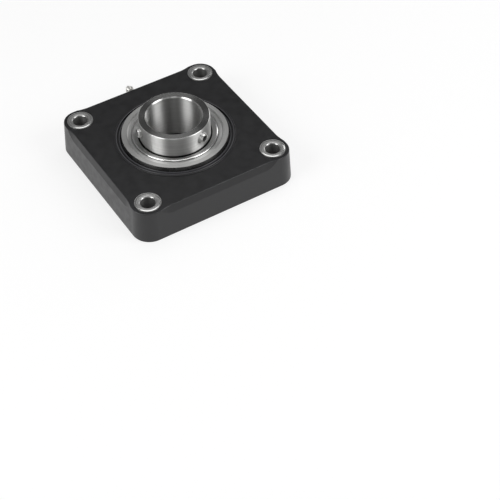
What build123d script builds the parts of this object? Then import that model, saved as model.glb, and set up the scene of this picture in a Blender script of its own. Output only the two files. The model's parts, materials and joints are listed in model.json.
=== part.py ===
from build123d import *
import math
import os

# Square flange bearing unit: a moulded four-bolt housing that holds a ball bearing insert in a
# spherical seat. The origin is on the shaft axis, in the plane of the mounting face, and +Z points
# along the shaft, out of the face with the collar and its two set screws. Sizes are in millimetres.

# Housing
bolt_spacing = 102.0
flange_thickness = 25.5
flange_corner_radius = 13.5
side_draft = 3.5
waist_depth = 1.45
waist_slope = 18.0
waist_bolt_distance = 13.0
waist_end_radius = 35.0
top_edge_round = 0.5
foot_edge_round = 0.6
pad_height = 0.5
pad_edge_round = 0.3
pad_rim_width = 2.0
cover_land_width = 0.7
cover_groove_width = 1.5
cover_groove_depth = 1.3
back_recess_gap = 1.0
back_recess_depth = 11.0
mouth_lead = 0.9
port_spot_margin = 1.3
port_spot_depth = 0.4
grease_channel_radius = 1.1
grease_pocket_width = 4.0
grease_pocket_depth = 1.0

# Bolt sleeves
bolt_hole_diameter = 10.5
sleeve_wall = 1.1
sleeve_flange_width = 3.05
sleeve_flange_thickness = 1.4
sleeve_proud = 0.6
sleeve_lead_round = 1.2
sleeve_rim_round = 0.6
sleeve_end_chamfer = 0.3
sleeve_fit = 0.02

# Bearing insert, with its heights counted from the centre plane of the balls
seat_height = 18.8
shaft_diameter = 40.0
bearing_section = 20.0
seat_clearance = 0.03
ring_edge_round = 0.5
inner_ring_length = 35.2
inner_bore_chamfer = 0.8
inner_end_chamfer = 0.7
ball_count = 9
ball_diameter = 12.0
ball_clearance = 0.02
groove_conformity = 0.515
outer_groove_depth = 1.82
inner_groove_depth = 1.92
ring_groove_height = 5.5
ring_groove_width = 2.4
ring_groove_depth = 0.7
ring_hole_radius = 0.8

# Ball cage
cage_sheet = 0.8
cage_band_width = 5.2
pocket_clearance = 0.1
rivet_radius = 0.8
rivet_head_radius = 1.4
rivet_head_height = 0.5
rivet_head_taper = 25.0

# Seals
shield_cage_gap = 0.2
shield_seat_depth = 1.05
shield_seat_length = 2.9
shield_sheet = 0.7
shield_bore_gap = 1.0
shield_bead_width = 1.05
shield_bead_rise = 1.9
shield_shelf_width = 2.1
shield_shelf_rise = 1.4
lip_running_gap = 0.05
lip_tip_thickness = 0.3
lip_bond_width = 1.2
lip_bond_thickness = 0.15
flinger_sheet = 0.6
flinger_side_gap = 0.7
flinger_inset = 0.25
flinger_dish = 1.2
flinger_rim_chamfer = 0.2
flinger_channel_width = 1.0

# Set screws
screw_diameter = 8.0
screw_length = 8.0
screw_thread_clearance = 0.05
screw_end_chamfer = 0.6
screw_cup_radius = 2.0
screw_cup_depth = 1.0
screw_end_distance = 7.0
screw_tip_clearance = 0.35
screw_mouth_chamfer = 0.4
screw_socket_width = 4.0
screw_socket_depth = 4.0
screw_angles = (-70.0, 170.0)

# Grease fitting, with its lengths counted outwards from the spot face
fitting_thread_diameter = 6.0
fitting_thread_length = 6.0
fitting_thread_clearance = 0.02
fitting_hex_width = 7.0
fitting_hex_height = 3.0
fitting_neck_length = 2.4
fitting_neck_wall = 0.8
fitting_cone_length = 1.6
fitting_head_radius = 3.2
fitting_tip_length = 3.0
fitting_tip_radius = 1.9
fitting_bore_radius = 0.9
fitting_chamber_start = 0.6
fitting_mouth_radius = 0.8
fitting_mouth_length = 1.2
check_ball_diameter = 2.4
check_ball_gap = 0.03
check_side_clearance = 0.1
spring_wire = 0.3
spring_turns = 6
spring_side_clearance = 0.15

# Sizes that follow from those above
flange_top = flange_thickness + pad_height
flange_width = bolt_spacing + 2 * flange_corner_radius
flange_half = flange_width / 2
top_half = flange_half - flange_thickness * math.tan(math.radians(side_draft))
waist_half = top_half - waist_depth
bolt_offset = bolt_spacing / 2
waist_start = bolt_offset - waist_bolt_distance
waist_end_turn = math.degrees(math.acos(1 - (flange_half - waist_half) / waist_end_radius))
waist_far = flange_half + flange_corner_radius
sleeve_bore_radius = bolt_hole_diameter / 2
sleeve_radius = sleeve_bore_radius + sleeve_wall
sleeve_flange_radius = sleeve_radius + sleeve_flange_width
sleeve_top = flange_thickness + sleeve_proud
bore_radius = shaft_diameter / 2
sphere_radius = bore_radius + bearing_section
seat_radius = sphere_radius + seat_clearance
cover_groove_inner = seat_radius + cover_land_width
cover_groove_outer = cover_groove_inner + cover_groove_width
pad_radius = cover_groove_outer + pad_rim_width
ball_radius = ball_diameter / 2
pitch_radius = (bore_radius + sphere_radius) / 2
groove_radius = groove_conformity * ball_diameter
inner_groove_floor = pitch_radius - ball_radius - ball_clearance
outer_groove_floor = pitch_radius + ball_radius + ball_clearance
inner_radius = inner_groove_floor + inner_groove_depth
outer_land_radius = outer_groove_floor - outer_groove_depth
shield_seat_radius = outer_land_radius + shield_seat_depth
shield_seat_height = ball_radius + pocket_clearance + cage_sheet + shield_cage_gap
ring_face = shield_seat_height + shield_seat_length
collar_end = inner_ring_length - ring_face
fitting_neck_end = fitting_hex_height + fitting_neck_length
fitting_head_start = fitting_neck_end + fitting_cone_length
fitting_length = fitting_head_start + fitting_tip_length
check_radius = check_ball_diameter / 2
fitting_chamber_radius = check_radius + check_side_clearance
port_spot_radius = fitting_hex_width / math.sqrt(3) + port_spot_margin
port_face = flange_half - seat_height * math.tan(math.radians(side_draft)) - port_spot_depth


def sphere_reach(radius, height):
    """Radius of a sphere's surface at a height above its centre."""
    return math.sqrt(radius**2 - height**2)


def groove_half_width(depth):
    """Half the width of a ball groove that is cut to a depth."""
    return sphere_reach(groove_radius, groove_radius - depth)


# Planes that the pieces are drawn on
ball_plane = Plane.XY.offset(seat_height)
section = Plane(origin=(0, 0, seat_height), x_dir=(1, 0, 0), z_dir=(0, -1, 0))
top_plane_down = Plane(origin=(0, 0, flange_thickness), x_dir=(1, 0, 0), z_dir=(0, 0, -1))
port_plane = Plane(origin=(0, port_face, seat_height), x_dir=(1, 0, 0), z_dir=(0, 1, 0))

os.makedirs("parts", exist_ok=True)


# Housing: a drafted square with round corners and a low pad round the seat
with BuildPart() as housing:
    with BuildSketch():
        RectangleRounded(flange_width, flange_width, flange_corner_radius)
    extrude(amount=flange_thickness, taper=side_draft)
    # Waist: the upper edge of each side slopes inwards between the round corners
    for side_angle in (0, 90, 180, 270):
        with BuildSketch(top_plane_down.rotated((0, 0, side_angle))):
            with BuildLine():
                waist = Line((waist_half, -waist_start), (waist_half, waist_start))
                left_end = JernArc(waist @ 1, waist % 1, waist_end_radius, -waist_end_turn)
                right_end = JernArc(waist @ 0, -(waist % 0), waist_end_radius, waist_end_turn)
                far_left = (waist_far, (left_end @ 1).Y)
                far_right = (waist_far, (right_end @ 1).Y)
                Polyline(left_end @ 1, far_left, far_right, right_end @ 1)
            make_face()
        extrude(amount=flange_thickness / 2, taper=waist_slope, mode=Mode.SUBTRACT)
    fillet(housing.faces().sort_by(Axis.Z)[-1].edges(), top_edge_round)
    fillet(housing.faces().sort_by(Axis.Z)[0].edges(), foot_edge_round)
    with BuildSketch(Plane.XY.offset(flange_thickness)):
        Circle(pad_radius)
    extrude(amount=pad_height)
    fillet(housing.faces().sort_by(Axis.Z)[-1].edges(), pad_edge_round)
    # Groove that an end cover snaps into
    with BuildSketch(Plane.XY.offset(flange_top)):
        Circle(cover_groove_outer)
        Circle(cover_groove_inner, mode=Mode.SUBTRACT)
    extrude(amount=-cover_groove_depth, mode=Mode.SUBTRACT)
    # Spherical seat, with a round recess behind it and a lead-in at the front
    seat_start = back_recess_depth - seat_height
    seat_end = flange_top - mouth_lead - seat_height
    mouth_radius = sphere_reach(seat_radius, seat_end) + mouth_lead / 2
    with BuildSketch(section):
        with BuildLine():
            Polyline(
                (0, -seat_height),
                (seat_radius + back_recess_gap, -seat_height),
                (seat_radius + back_recess_gap, seat_start),
                (sphere_reach(seat_radius, seat_start), seat_start),
            )
            ThreePointArc(
                (sphere_reach(seat_radius, seat_start), seat_start),
                (seat_radius, 0),
                (sphere_reach(seat_radius, seat_end), seat_end),
            )
            Polyline(
                (sphere_reach(seat_radius, seat_end), seat_end),
                (mouth_radius, seat_end + mouth_lead),
                (0, seat_end + mouth_lead),
                (0, -seat_height),
            )
        make_face()
    revolve(axis=Axis.Z, mode=Mode.SUBTRACT)
    # Bolt holes that hold the sleeves
    with Locations(Plane.XY.offset(flange_thickness)):
        with GridLocations(bolt_spacing, bolt_spacing, 2, 2):
            CounterBoreHole(
                radius=sleeve_radius + sleeve_fit,
                counter_bore_radius=sleeve_flange_radius + sleeve_fit,
                counter_bore_depth=sleeve_flange_thickness - sleeve_proud + sleeve_fit,
            )
    # Grease port: a spot face, the threaded hole, the channel and its pocket, over the ring's groove
    pocket_foot = ring_groove_height + ring_groove_width / 2
    pocket_height = pocket_foot + grease_channel_radius
    pocket_start = sphere_reach(seat_radius, pocket_height)
    with BuildSketch(port_plane):
        Circle(port_spot_radius)
    extrude(amount=port_spot_radius, mode=Mode.SUBTRACT)
    with Locations(port_plane):
        Hole(
            radius=fitting_thread_diameter / 2 + fitting_thread_clearance,
            depth=fitting_thread_length + fitting_thread_clearance,
        )
        Hole(radius=grease_channel_radius, depth=port_face - pocket_start)
    with BuildSketch(port_plane.offset(pocket_start - port_face)):
        with Locations((0, pocket_foot - pocket_height / 2)):
            SlotOverall(pocket_height, grease_pocket_width, rotation=90)
    extrude(amount=seat_radius + grease_pocket_depth - pocket_start, mode=Mode.SUBTRACT)

housing.part.label = "housing"
export_step(housing.part, "parts/housing.step")


# Bolt sleeves: flanged tubes that take the clamping load through the plastic
for number, (x_sign, y_sign) in enumerate(((-1, -1), (1, -1), (1, 1), (-1, 1)), start=1):
    sleeve_centre = (x_sign * bolt_offset, y_sign * bolt_offset, 0)
    with BuildPart() as bolt_sleeve:
        with BuildSketch(Plane(sleeve_centre, x_dir=(1, 0, 0), z_dir=(0, -1, 0))) as sleeve_section:
            with BuildLine():
                Polyline(
                    (sleeve_bore_radius, 0),
                    (sleeve_radius, 0),
                    (sleeve_radius, sleeve_top - sleeve_flange_thickness),
                    (sleeve_flange_radius, sleeve_top - sleeve_flange_thickness),
                    (sleeve_flange_radius, sleeve_top),
                    (sleeve_bore_radius, sleeve_top),
                    close=True,
                )
            make_face()
            top_corners = sleeve_section.vertices().group_by(Axis.Y)[-1].sort_by(Axis.X)
            foot_corners = sleeve_section.vertices().group_by(Axis.Y)[0]
            chamfer(foot_corners, sleeve_end_chamfer)
            fillet(top_corners[0], sleeve_lead_round)
            fillet(top_corners[-1], sleeve_rim_round)
        revolve(axis=Axis(sleeve_centre, (0, 0, 1)))
    bolt_sleeve.part.label = f"bolt_sleeve_{number}"
    export_step(bolt_sleeve.part, f"parts/bolt_sleeve_{number}.step")


# Outer ring: spherical outside, ball groove inside, a step at each face for the shields
outer_groove_half = groove_half_width(outer_groove_depth)
with BuildPart() as outer_ring:
    with BuildSketch(section) as ring_section:
        with BuildLine():
            ThreePointArc(
                (sphere_reach(sphere_radius, ring_face), -ring_face),
                (sphere_radius, 0),
                (sphere_reach(sphere_radius, ring_face), ring_face),
            )
            Polyline(
                (sphere_reach(sphere_radius, ring_face), ring_face),
                (shield_seat_radius, ring_face),
                (shield_seat_radius, shield_seat_height),
                (outer_land_radius, shield_seat_height),
                (outer_land_radius, outer_groove_half),
            )
            ThreePointArc(
                (outer_land_radius, outer_groove_half),
                (outer_groove_floor, 0),
                (outer_land_radius, -outer_groove_half),
            )
            Polyline(
                (outer_land_radius, -outer_groove_half),
                (outer_land_radius, -shield_seat_height),
                (shield_seat_radius, -shield_seat_height),
                (shield_seat_radius, -ring_face),
                (sphere_reach(sphere_radius, ring_face), -ring_face),
            )
        make_face()
        face_corners = ring_section.vertices().filter_by_position(Axis.Y, ring_face, ring_face)
        back_corners = ring_section.vertices().filter_by_position(Axis.Y, -ring_face, -ring_face)
        fillet((face_corners + back_corners).group_by(Axis.X)[-1], ring_edge_round)
    revolve(axis=Axis.Z)
    # Grease groove round the outside, and two holes from it to the inside
    ring_groove_floor = sphere_reach(sphere_radius, ring_groove_height) - ring_groove_depth
    with BuildSketch(ball_plane.offset(-ring_groove_height - ring_groove_width / 2)):
        Circle(pad_radius)
        Circle(ring_groove_floor, mode=Mode.SUBTRACT)
    extrude(amount=ring_groove_width, mode=Mode.SUBTRACT)
    with BuildSketch(port_plane):
        with Locations((0, ring_groove_height)):
            Circle(ring_hole_radius)
    extrude(amount=-2 * port_face, mode=Mode.SUBTRACT)

outer_ring.part.label = "outer_ring"
export_step(outer_ring.part, "parts/outer_ring.step")


def screw_plane(angle):
    """Plane square to a set screw, on the shaft axis, facing outwards along the screw."""
    outwards = (math.cos(math.radians(angle)), math.sin(math.radians(angle)), 0)
    screw_height = seat_height + collar_end - screw_end_distance
    return Plane(origin=(0, 0, screw_height), x_dir=(0, 0, 1), z_dir=outwards)


# Inner ring: extended to one side as a collar, with two tapped holes for the set screws
inner_groove_half = groove_half_width(inner_groove_depth)
with BuildPart() as inner_ring:
    with BuildSketch(section) as ring_section:
        with BuildLine():
            Polyline(
                (inner_radius, -inner_groove_half),
                (inner_radius, -ring_face),
                (bore_radius, -ring_face),
                (bore_radius, collar_end),
                (inner_radius, collar_end),
                (inner_radius, inner_groove_half),
            )
            ThreePointArc(
                (inner_radius, inner_groove_half),
                (inner_groove_floor, 0),
                (inner_radius, -inner_groove_half),
            )
        make_face()
        bore_corners = ring_section.vertices().group_by(Axis.X)[0]
        end_corners = ring_section.vertices().group_by(Axis.X)[-1].sort_by(Axis.Y)
        chamfer(bore_corners, inner_bore_chamfer)
        fillet(end_corners[-1], inner_end_chamfer)
        chamfer(end_corners[0], inner_end_chamfer / 2)
    revolve(axis=Axis.Z)
    for angle in screw_angles:
        with Locations(screw_plane(angle).offset(inner_radius)):
            CounterSinkHole(
                radius=screw_diameter / 2,
                counter_sink_radius=screw_diameter / 2 + screw_mouth_chamfer,
                depth=inner_radius - bore_radius / 2,
            )

inner_ring.part.label = "inner_ring"
export_step(inner_ring.part, "parts/inner_ring.step")


# Balls
for number in range(1, ball_count + 1):
    angle = math.radians(360 / ball_count * (number - 1))
    with BuildPart() as ball:
        with Locations((pitch_radius * math.cos(angle), pitch_radius * math.sin(angle), seat_height)):
            Sphere(ball_radius)
    ball.part.label = f"ball_{number}"
    export_step(ball.part, f"parts/ball_{number}.step")


# Cage: two pressed ribbons with a round pocket for each ball, riveted between the balls
band_inner = pitch_radius - cage_band_width / 2
band_outer = pitch_radius + cage_band_width / 2
pocket_radius = ball_radius + pocket_clearance
rivet_start = 180 / ball_count
for name, side in (("front_cage_half", 1), ("rear_cage_half", -1)):
    with BuildPart() as cage_half:
        with BuildSketch(ball_plane):
            Circle(band_outer)
        extrude(amount=side * cage_sheet)
        with Locations(ball_plane):
            with PolarLocations(pitch_radius, ball_count):
                Sphere(pocket_radius + cage_sheet)
        with BuildSketch(ball_plane):
            Circle(band_outer)
            Circle(band_inner, mode=Mode.SUBTRACT)
        extrude(amount=side * ball_diameter, mode=Mode.INTERSECT)
        with Locations(ball_plane):
            with PolarLocations(pitch_radius, ball_count):
                Sphere(pocket_radius, mode=Mode.SUBTRACT)
            with PolarLocations(pitch_radius, ball_count, start_angle=rivet_start):
                Hole(radius=rivet_radius)
    cage_half.part.label = name
    export_step(cage_half.part, f"parts/{name}.step")

# Cage rivets: one between each two balls, with a round head at both ends
with BuildPart() as cage_rivets:
    with BuildSketch(ball_plane.offset(-cage_sheet)):
        with PolarLocations(pitch_radius, ball_count, start_angle=rivet_start):
            Circle(rivet_radius)
    extrude(amount=2 * cage_sheet)
    for side in (1, -1):
        with BuildSketch(ball_plane.offset(side * cage_sheet)):
            with PolarLocations(pitch_radius, ball_count, start_angle=rivet_start):
                Circle(rivet_head_radius)
        extrude(amount=side * rivet_head_height, taper=rivet_head_taper)

cage_rivets.part.label = "cage_rivets"
export_step(cage_rivets.part, "parts/cage_rivets.step")


# Seals at both faces: a shield in the outer ring, its rubber lip, and a flinger on the inner ring
flinger_face = ring_face - flinger_inset
flinger_edge = flinger_face - flinger_dish
flinger_foot = shield_seat_height + flinger_sheet
flinger_channel_radius = inner_radius + flinger_channel_width
flinger_hub_radius = flinger_channel_radius + flinger_sheet
shield_bore_radius = flinger_hub_radius + shield_bore_gap
shield_shelf_outer = shield_seat_radius - shield_bead_width
shield_shelf_inner = shield_shelf_outer - shield_shelf_width
flinger_outer_radius = shield_shelf_inner - flinger_side_gap
shield_face = shield_seat_height + shield_sheet
shelf_under = shield_seat_height + shield_shelf_rise
shelf_face = shield_face + shield_shelf_rise
bead_face = shield_face + shield_bead_rise
bead_run = shield_bead_rise - shield_shelf_rise
fold_run = shield_sheet * (math.sqrt(2) - 1)
lip_tip_radius = flinger_hub_radius + lip_running_gap
bond_face = shield_face + lip_bond_thickness
for name, side in (("front", 1), ("rear", -1)):
    with BuildPart() as shield:
        with BuildSketch(section):
            with BuildLine():
                Polyline(
                    (shield_bore_radius, side * shield_seat_height),
                    (shield_bore_radius, side * shield_face),
                    (shield_shelf_inner - shield_shelf_rise, side * shield_face),
                    (shield_shelf_inner, side * shelf_face),
                    (shield_shelf_outer, side * shelf_face),
                    (shield_shelf_outer + bead_run, side * bead_face),
                    (shield_seat_radius, side * bead_face),
                    (shield_seat_radius, side * shield_seat_height),
                    (shield_shelf_outer, side * shield_seat_height),
                    (shield_shelf_outer - shield_shelf_rise / 2, side * shelf_under),
                    (shield_shelf_inner + fold_run, side * shelf_under),
                    (shield_shelf_inner + fold_run - shield_shelf_rise, side * shield_seat_height),
                    close=True,
                )
            make_face()
        revolve(axis=Axis.Z)
    shield.part.label = f"{name}_shield"
    export_step(shield.part, f"parts/{name}_shield.step")

    with BuildPart() as seal_lip:
        with BuildSketch(section):
            with BuildLine():
                Polyline(
                    (lip_tip_radius, side * shield_seat_height),
                    (lip_tip_radius, side * (shield_seat_height + lip_tip_thickness)),
                    (shield_bore_radius - lip_bond_thickness, side * bond_face),
                    (shield_bore_radius + lip_bond_width, side * bond_face),
                    (shield_bore_radius + lip_bond_width, side * shield_face),
                    (shield_bore_radius, side * shield_face),
                    (shield_bore_radius, side * shield_seat_height),
                    close=True,
                )
            make_face()
        revolve(axis=Axis.Z)
    seal_lip.part.label = f"{name}_seal_lip"
    export_step(seal_lip.part, f"parts/{name}_seal_lip.step")

    with BuildPart() as flinger:
        with BuildSketch(section):
            with BuildLine():
                Polyline(
                    (inner_radius, side * shield_seat_height),
                    (flinger_hub_radius, side * shield_seat_height),
                    (flinger_hub_radius, side * (flinger_edge - flinger_sheet)),
                    (flinger_outer_radius, side * (flinger_face - flinger_sheet)),
                    (flinger_outer_radius, side * (flinger_face - flinger_rim_chamfer)),
                    (flinger_outer_radius - flinger_rim_chamfer, side * flinger_face),
                    (flinger_channel_radius, side * flinger_edge),
                    (flinger_channel_radius, side * flinger_foot),
                    (inner_radius, side * flinger_foot),
                    close=True,
                )
            make_face()
        revolve(axis=Axis.Z)
    flinger.part.label = f"{name}_flinger"
    export_step(flinger.part, f"parts/{name}_flinger.step")


# Set screws: cup point inwards, hexagon socket outwards
screw_tip = bore_radius + screw_tip_clearance
for number, angle in enumerate(screw_angles, start=1):
    with BuildPart() as set_screw:
        with BuildSketch(screw_plane(angle).offset(screw_tip)):
            Circle(screw_diameter / 2 - screw_thread_clearance)
        extrude(amount=screw_length)
        end_edges = set_screw.edges().filter_by(GeomType.CIRCLE)
        chamfer(end_edges, screw_end_chamfer)
        with BuildSketch(screw_plane(angle).offset(screw_tip + screw_length)):
            RegularPolygon(screw_socket_width / 2, 6, major_radius=False)
        extrude(amount=-screw_socket_depth, mode=Mode.SUBTRACT)
        with BuildSketch(screw_plane(angle).offset(screw_tip)):
            Circle(screw_cup_radius)
        extrude(amount=screw_cup_depth, taper=45, mode=Mode.SUBTRACT)
    set_screw.part.label = f"set_screw_{number}"
    export_step(set_screw.part, f"parts/set_screw_{number}.step")


# Grease fitting: threaded shank, hexagon, neck and a coned head with a bore through it
mouth_start = fitting_length - fitting_mouth_length
fitting_neck_radius = fitting_chamber_radius + fitting_neck_wall
with BuildPart() as grease_fitting:
    with BuildSketch(port_plane.offset(-fitting_thread_length)):
        Circle(fitting_thread_diameter / 2)
    extrude(amount=fitting_thread_length)
    with BuildSketch(port_plane):
        RegularPolygon(fitting_hex_width / 2, 6, major_radius=False)
    extrude(amount=fitting_hex_height)
    with BuildSketch(port_plane.offset(fitting_hex_height)):
        Circle(fitting_neck_radius)
    extrude(amount=fitting_neck_length)
    with BuildSketch(port_plane.offset(fitting_neck_end)):
        Circle(fitting_neck_radius)
    with BuildSketch(port_plane.offset(fitting_head_start)):
        Circle(fitting_head_radius)
    loft()
    with BuildSketch(port_plane.offset(fitting_head_start)):
        Circle(fitting_head_radius)
    with BuildSketch(port_plane.offset(fitting_length)):
        Circle(fitting_tip_radius)
    loft()
    with Locations(port_plane.offset(fitting_length)):
        Hole(radius=fitting_mouth_radius, depth=fitting_length - fitting_chamber_start)
    with BuildSketch(port_plane.offset(fitting_chamber_start)):
        Circle(fitting_chamber_radius)
    extrude(amount=mouth_start - fitting_chamber_start, mode=Mode.SUBTRACT)
    with BuildSketch(port_plane.offset(-fitting_thread_length)):
        Circle(fitting_bore_radius)
    extrude(amount=fitting_thread_length + fitting_chamber_start, mode=Mode.SUBTRACT)

grease_fitting.part.label = "grease_fitting"
export_step(grease_fitting.part, "parts/grease_fitting.step")

# Check ball: held against the mouth of the fitting by its spring
check_centre = mouth_start - sphere_reach(check_radius + check_ball_gap, fitting_mouth_radius)
with BuildPart() as check_ball:
    with Locations(port_plane.offset(check_centre)):
        Sphere(check_radius)

check_ball.part.label = "check_ball"
export_step(check_ball.part, "parts/check_ball.step")

# Check spring: stands on the shoulder of the chamber and carries the ball
spring_radius = fitting_chamber_radius - spring_wire / 2 - spring_side_clearance
spring_rest = math.sqrt((check_radius + spring_wire / 2) ** 2 - spring_radius**2)
spring_start = fitting_chamber_start + spring_wire / 2
spring_height = check_centre - spring_rest - check_ball_gap - spring_start
with BuildPart() as check_spring:
    with BuildLine():
        coil = Helix(
            pitch=spring_height / spring_turns,
            height=spring_height,
            radius=spring_radius,
            center=port_plane.offset(spring_start).origin,
            direction=(0, 1, 0),
        )
    with BuildSketch(Plane(origin=coil @ 0, z_dir=coil % 0)):
        Circle(spring_wire / 2)
    sweep(is_frenet=True)

check_spring.part.label = "check_spring"
export_step(check_spring.part, "parts/check_spring.step")
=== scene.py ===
"""Finishes, threaded pieces and stage of a square flange bearing unit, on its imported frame."""

import json
import math
from collections import namedtuple

import bmesh
import bpy
from bpy.props import FloatProperty, FloatVectorProperty, IntProperty, PointerProperty
from mathutils import Matrix, Quaternion, Vector


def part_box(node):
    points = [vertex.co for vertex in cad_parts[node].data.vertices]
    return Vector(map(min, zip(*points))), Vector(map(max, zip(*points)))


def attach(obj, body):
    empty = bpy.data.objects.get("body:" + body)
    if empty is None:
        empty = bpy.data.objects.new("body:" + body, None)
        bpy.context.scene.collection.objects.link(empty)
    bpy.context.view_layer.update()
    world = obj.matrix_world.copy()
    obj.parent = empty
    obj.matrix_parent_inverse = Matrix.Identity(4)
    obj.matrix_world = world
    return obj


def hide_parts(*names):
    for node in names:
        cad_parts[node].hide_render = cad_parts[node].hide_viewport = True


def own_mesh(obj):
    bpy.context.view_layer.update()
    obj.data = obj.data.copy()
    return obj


bl_info = {
    "name": "Square Flange Bearing Unit",
    "version": (1, 0, 0),
    "blender": (4, 5, 0),
    "location": "3D View > Sidebar > Bearing Unit",
    "description": "Finishes, threaded pieces and stage of a square flange bearing unit",
    "category": "Object",
}

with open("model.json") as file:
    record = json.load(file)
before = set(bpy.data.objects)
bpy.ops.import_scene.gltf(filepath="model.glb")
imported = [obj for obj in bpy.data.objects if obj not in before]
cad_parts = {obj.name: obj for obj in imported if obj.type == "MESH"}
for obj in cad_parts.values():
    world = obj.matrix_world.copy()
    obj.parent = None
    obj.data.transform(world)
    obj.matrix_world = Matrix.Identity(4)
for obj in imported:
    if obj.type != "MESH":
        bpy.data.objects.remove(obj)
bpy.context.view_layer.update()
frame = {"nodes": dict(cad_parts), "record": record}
MM = 0.001
SLOT_COLOURS = {entry["slot"]: entry["base_color"] for entry in frame["record"]["materials"]}
SLEEVES = [name for name in frame["nodes"] if name.startswith("bolt_sleeve_")]
BALLS = [name for name in frame["nodes"] if name.startswith("ball_")]
SCREWS = [name for name in frame["nodes"] if name.startswith("set_screw_")]
SIDES = ("front", "rear")
UP = Vector((0, 0, 1))
OUTWARDS = Vector((0, 1, 0))

# Edges that turn by less than this are smooth
SMOOTH_ANGLE = math.radians(32)

# Threads: how far the flanks would run past the depth, but for flat crests and roots; rows a turn
THREAD_FLAT = 0.2
THREAD_STEPS = 8

# Check spring: steps a turn and points round its wire
COIL_STEPS = 24
WIRE_SEGMENTS = 12

# A quarter turn, so that a highlight spreads across the turning lines
ACROSS_LINES = 0.25

# Distance over which one finish goes over into the next
SOFT_EDGE = 0.1 * MM

# Where one finish goes over into the next, by how squarely a face looks along the shaft
SLOPED = (0.05, 0.15)
CHAMFERED = (0.3, 0.4)
EDGE_START = (0.55, 0.65)
RING_END = (0.85, 0.95)
COLLAR_END = (0.9, 0.97)
EDGE_END = (0.95, 0.985)
LEVEL = (0.985, 0.998)

# Heights of a leaning ring's relief, from its inner radius to its outer one
FALLING = (1, 0)
RISING = (-1, 0)

# Unevenness of the finishes, as shares of the colour and as roughness
PLASTIC_TONES = (0.86, 1.16)
PLASTIC_UNEVENNESS = (-0.05, 0.06)
RUBBER_ROUGHNESS = (0.5, 0.7)
STEEL_TONES = (0.94, 1.04)
STEEL_UNEVENNESS = (-0.04, 0.06)
CAGE_TONES = (0.8, 1.08)
CAGE_ROUGHNESS = (0.3, 0.48)
BALL_TONES = (0.9, 1.0)
BALL_ROUGHNESS = (0.05, 0.14)

# Turned steel: share of the slot's colour, roughness, sheen across the lines and their depth
Turned = namedtuple("Turned", "tone roughness sheen line_depth")
SLEEVE_BORE = Turned(tone=0.6, roughness=0.45, sheen=0.5, line_depth=0.002 * MM)
# Painted reflection: the outer ring's low tone darkens its spherical outside, as if mirroring the dark
# housing
RING_OUTSIDE_PAINTED_DARK = Turned(tone=0.35, roughness=0.25, sheen=0.6, line_depth=0.003 * MM)
COLLAR_WALL = Turned(tone=1.0, roughness=0.55, sheen=1.0, line_depth=0.003 * MM)
SHEET = Turned(tone=1.0, roughness=0.4, sheen=0.9, line_depth=0.002 * MM)
SCREW_BODY = Turned(tone=1.0, roughness=0.3, sheen=0.3, line_depth=0.002 * MM)
FITTING_BODY = Turned(tone=1.0, roughness=0.3, sheen=0.3, line_depth=0.003 * MM)

# Single faces: share of the slot's colour and roughness
Finish = namedtuple("Finish", "tone roughness")
# Painted highlights: the sleeves' sloped edges and flange rim are lighter than their flange and bore
SLEEVE_EDGE_HIGHLIGHT = Finish(tone=0.8, roughness=0.3)
SLEEVE_FLANGE = Finish(tone=0.68, roughness=0.42)
SLEEVE_RIM_HIGHLIGHT = Finish(tone=1.0, roughness=0.2)
RING_FACES = Finish(tone=1.0, roughness=0.5)
# Painted highlight: the collar's chamfers are lighter than the rest of the ring steel
COLLAR_EDGE_HIGHLIGHT = Finish(tone=1.2, roughness=0.28)
# Painted shade: the flinger's dish, shadowed by the collar, is darker than its rim
FLINGER_DISH_SHADE = Finish(tone=0.8, roughness=0.4)
FLINGER_RIM = Finish(tone=1.0, roughness=0.12)
# Painted shade: the gap beside the collar gets the seal rubber's black
GAP_SHADE = Finish(tone=1.0, roughness=0.5)
# Painted shade: the set screw's socket and cup point are darker
SCREW_SOCKET_SHADE = Finish(tone=0.35, roughness=0.6)

# Radius of the painted shade in a set screw's socket and cup point, as a share of its width across the
# flats
SOCKET_REACH = 0.59

# Mix nodes repeat their sockets' names for each kind, so two inputs and the output have numbers
MIX_SOCKETS = {"FLOAT": (2, 3, 0), "RGBA": (6, 7, 2)}

# Floor: how matt it is, half its width, and where it glows fully, as a share of its shaded reach
FLOOR_ROUGHNESS = 0.7
FLOOR_HALF_WIDTH = 3.0
FLOOR_FADE = 1.1

# Nearest distance that the camera sees
NEAREST_SEEN = 10 * MM


def centre_of(node):
    """Middle of a CAD node's box."""
    low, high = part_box(node)
    return (low + high) / 2


SEAT_CENTRE = centre_of("outer_ring")
FLINGER_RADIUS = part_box("front_flinger")[1].x
SLEEVE_RADIUS = (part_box(SLEEVES[0])[1].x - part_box(SLEEVES[0])[0].x) / 2


# Properties


def colour_property(name, description, slot):
    """A colour that starts as the record's colour for a material slot."""
    return FloatVectorProperty(
        name=name,
        description=description,
        subtype="COLOR",
        size=3,
        min=0,
        max=1,
        default=SLOT_COLOURS[slot],
    )


def length_property(name, description, default):
    """A length in metres, shown in the scene's own unit."""
    return FloatProperty(
        name=name,
        description=description,
        unit="LENGTH",
        subtype="DISTANCE",
        min=0,
        precision=5,
        default=default,
    )


def angle_property(name, description, degrees):
    """An angle, given here in degrees."""
    return FloatProperty(
        name=name,
        description=description,
        subtype="ANGLE",
        default=math.radians(degrees),
    )


def factor_property(name, description, default):
    """A share from 0 to 1."""
    return FloatProperty(
        name=name,
        description=description,
        subtype="FACTOR",
        min=0,
        max=1,
        default=default,
    )


def amount_property(name, description, default):
    """A number that is not negative."""
    return FloatProperty(name=name, description=description, min=0, default=default)


def count_property(name, description, least, default):
    """A whole number."""
    return IntProperty(name=name, description=description, min=least, default=default)


def power_property(name, description, watts):
    """The power of a light."""
    return FloatProperty(name=name, description=description, unit="POWER", min=0, default=watts)


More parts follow.
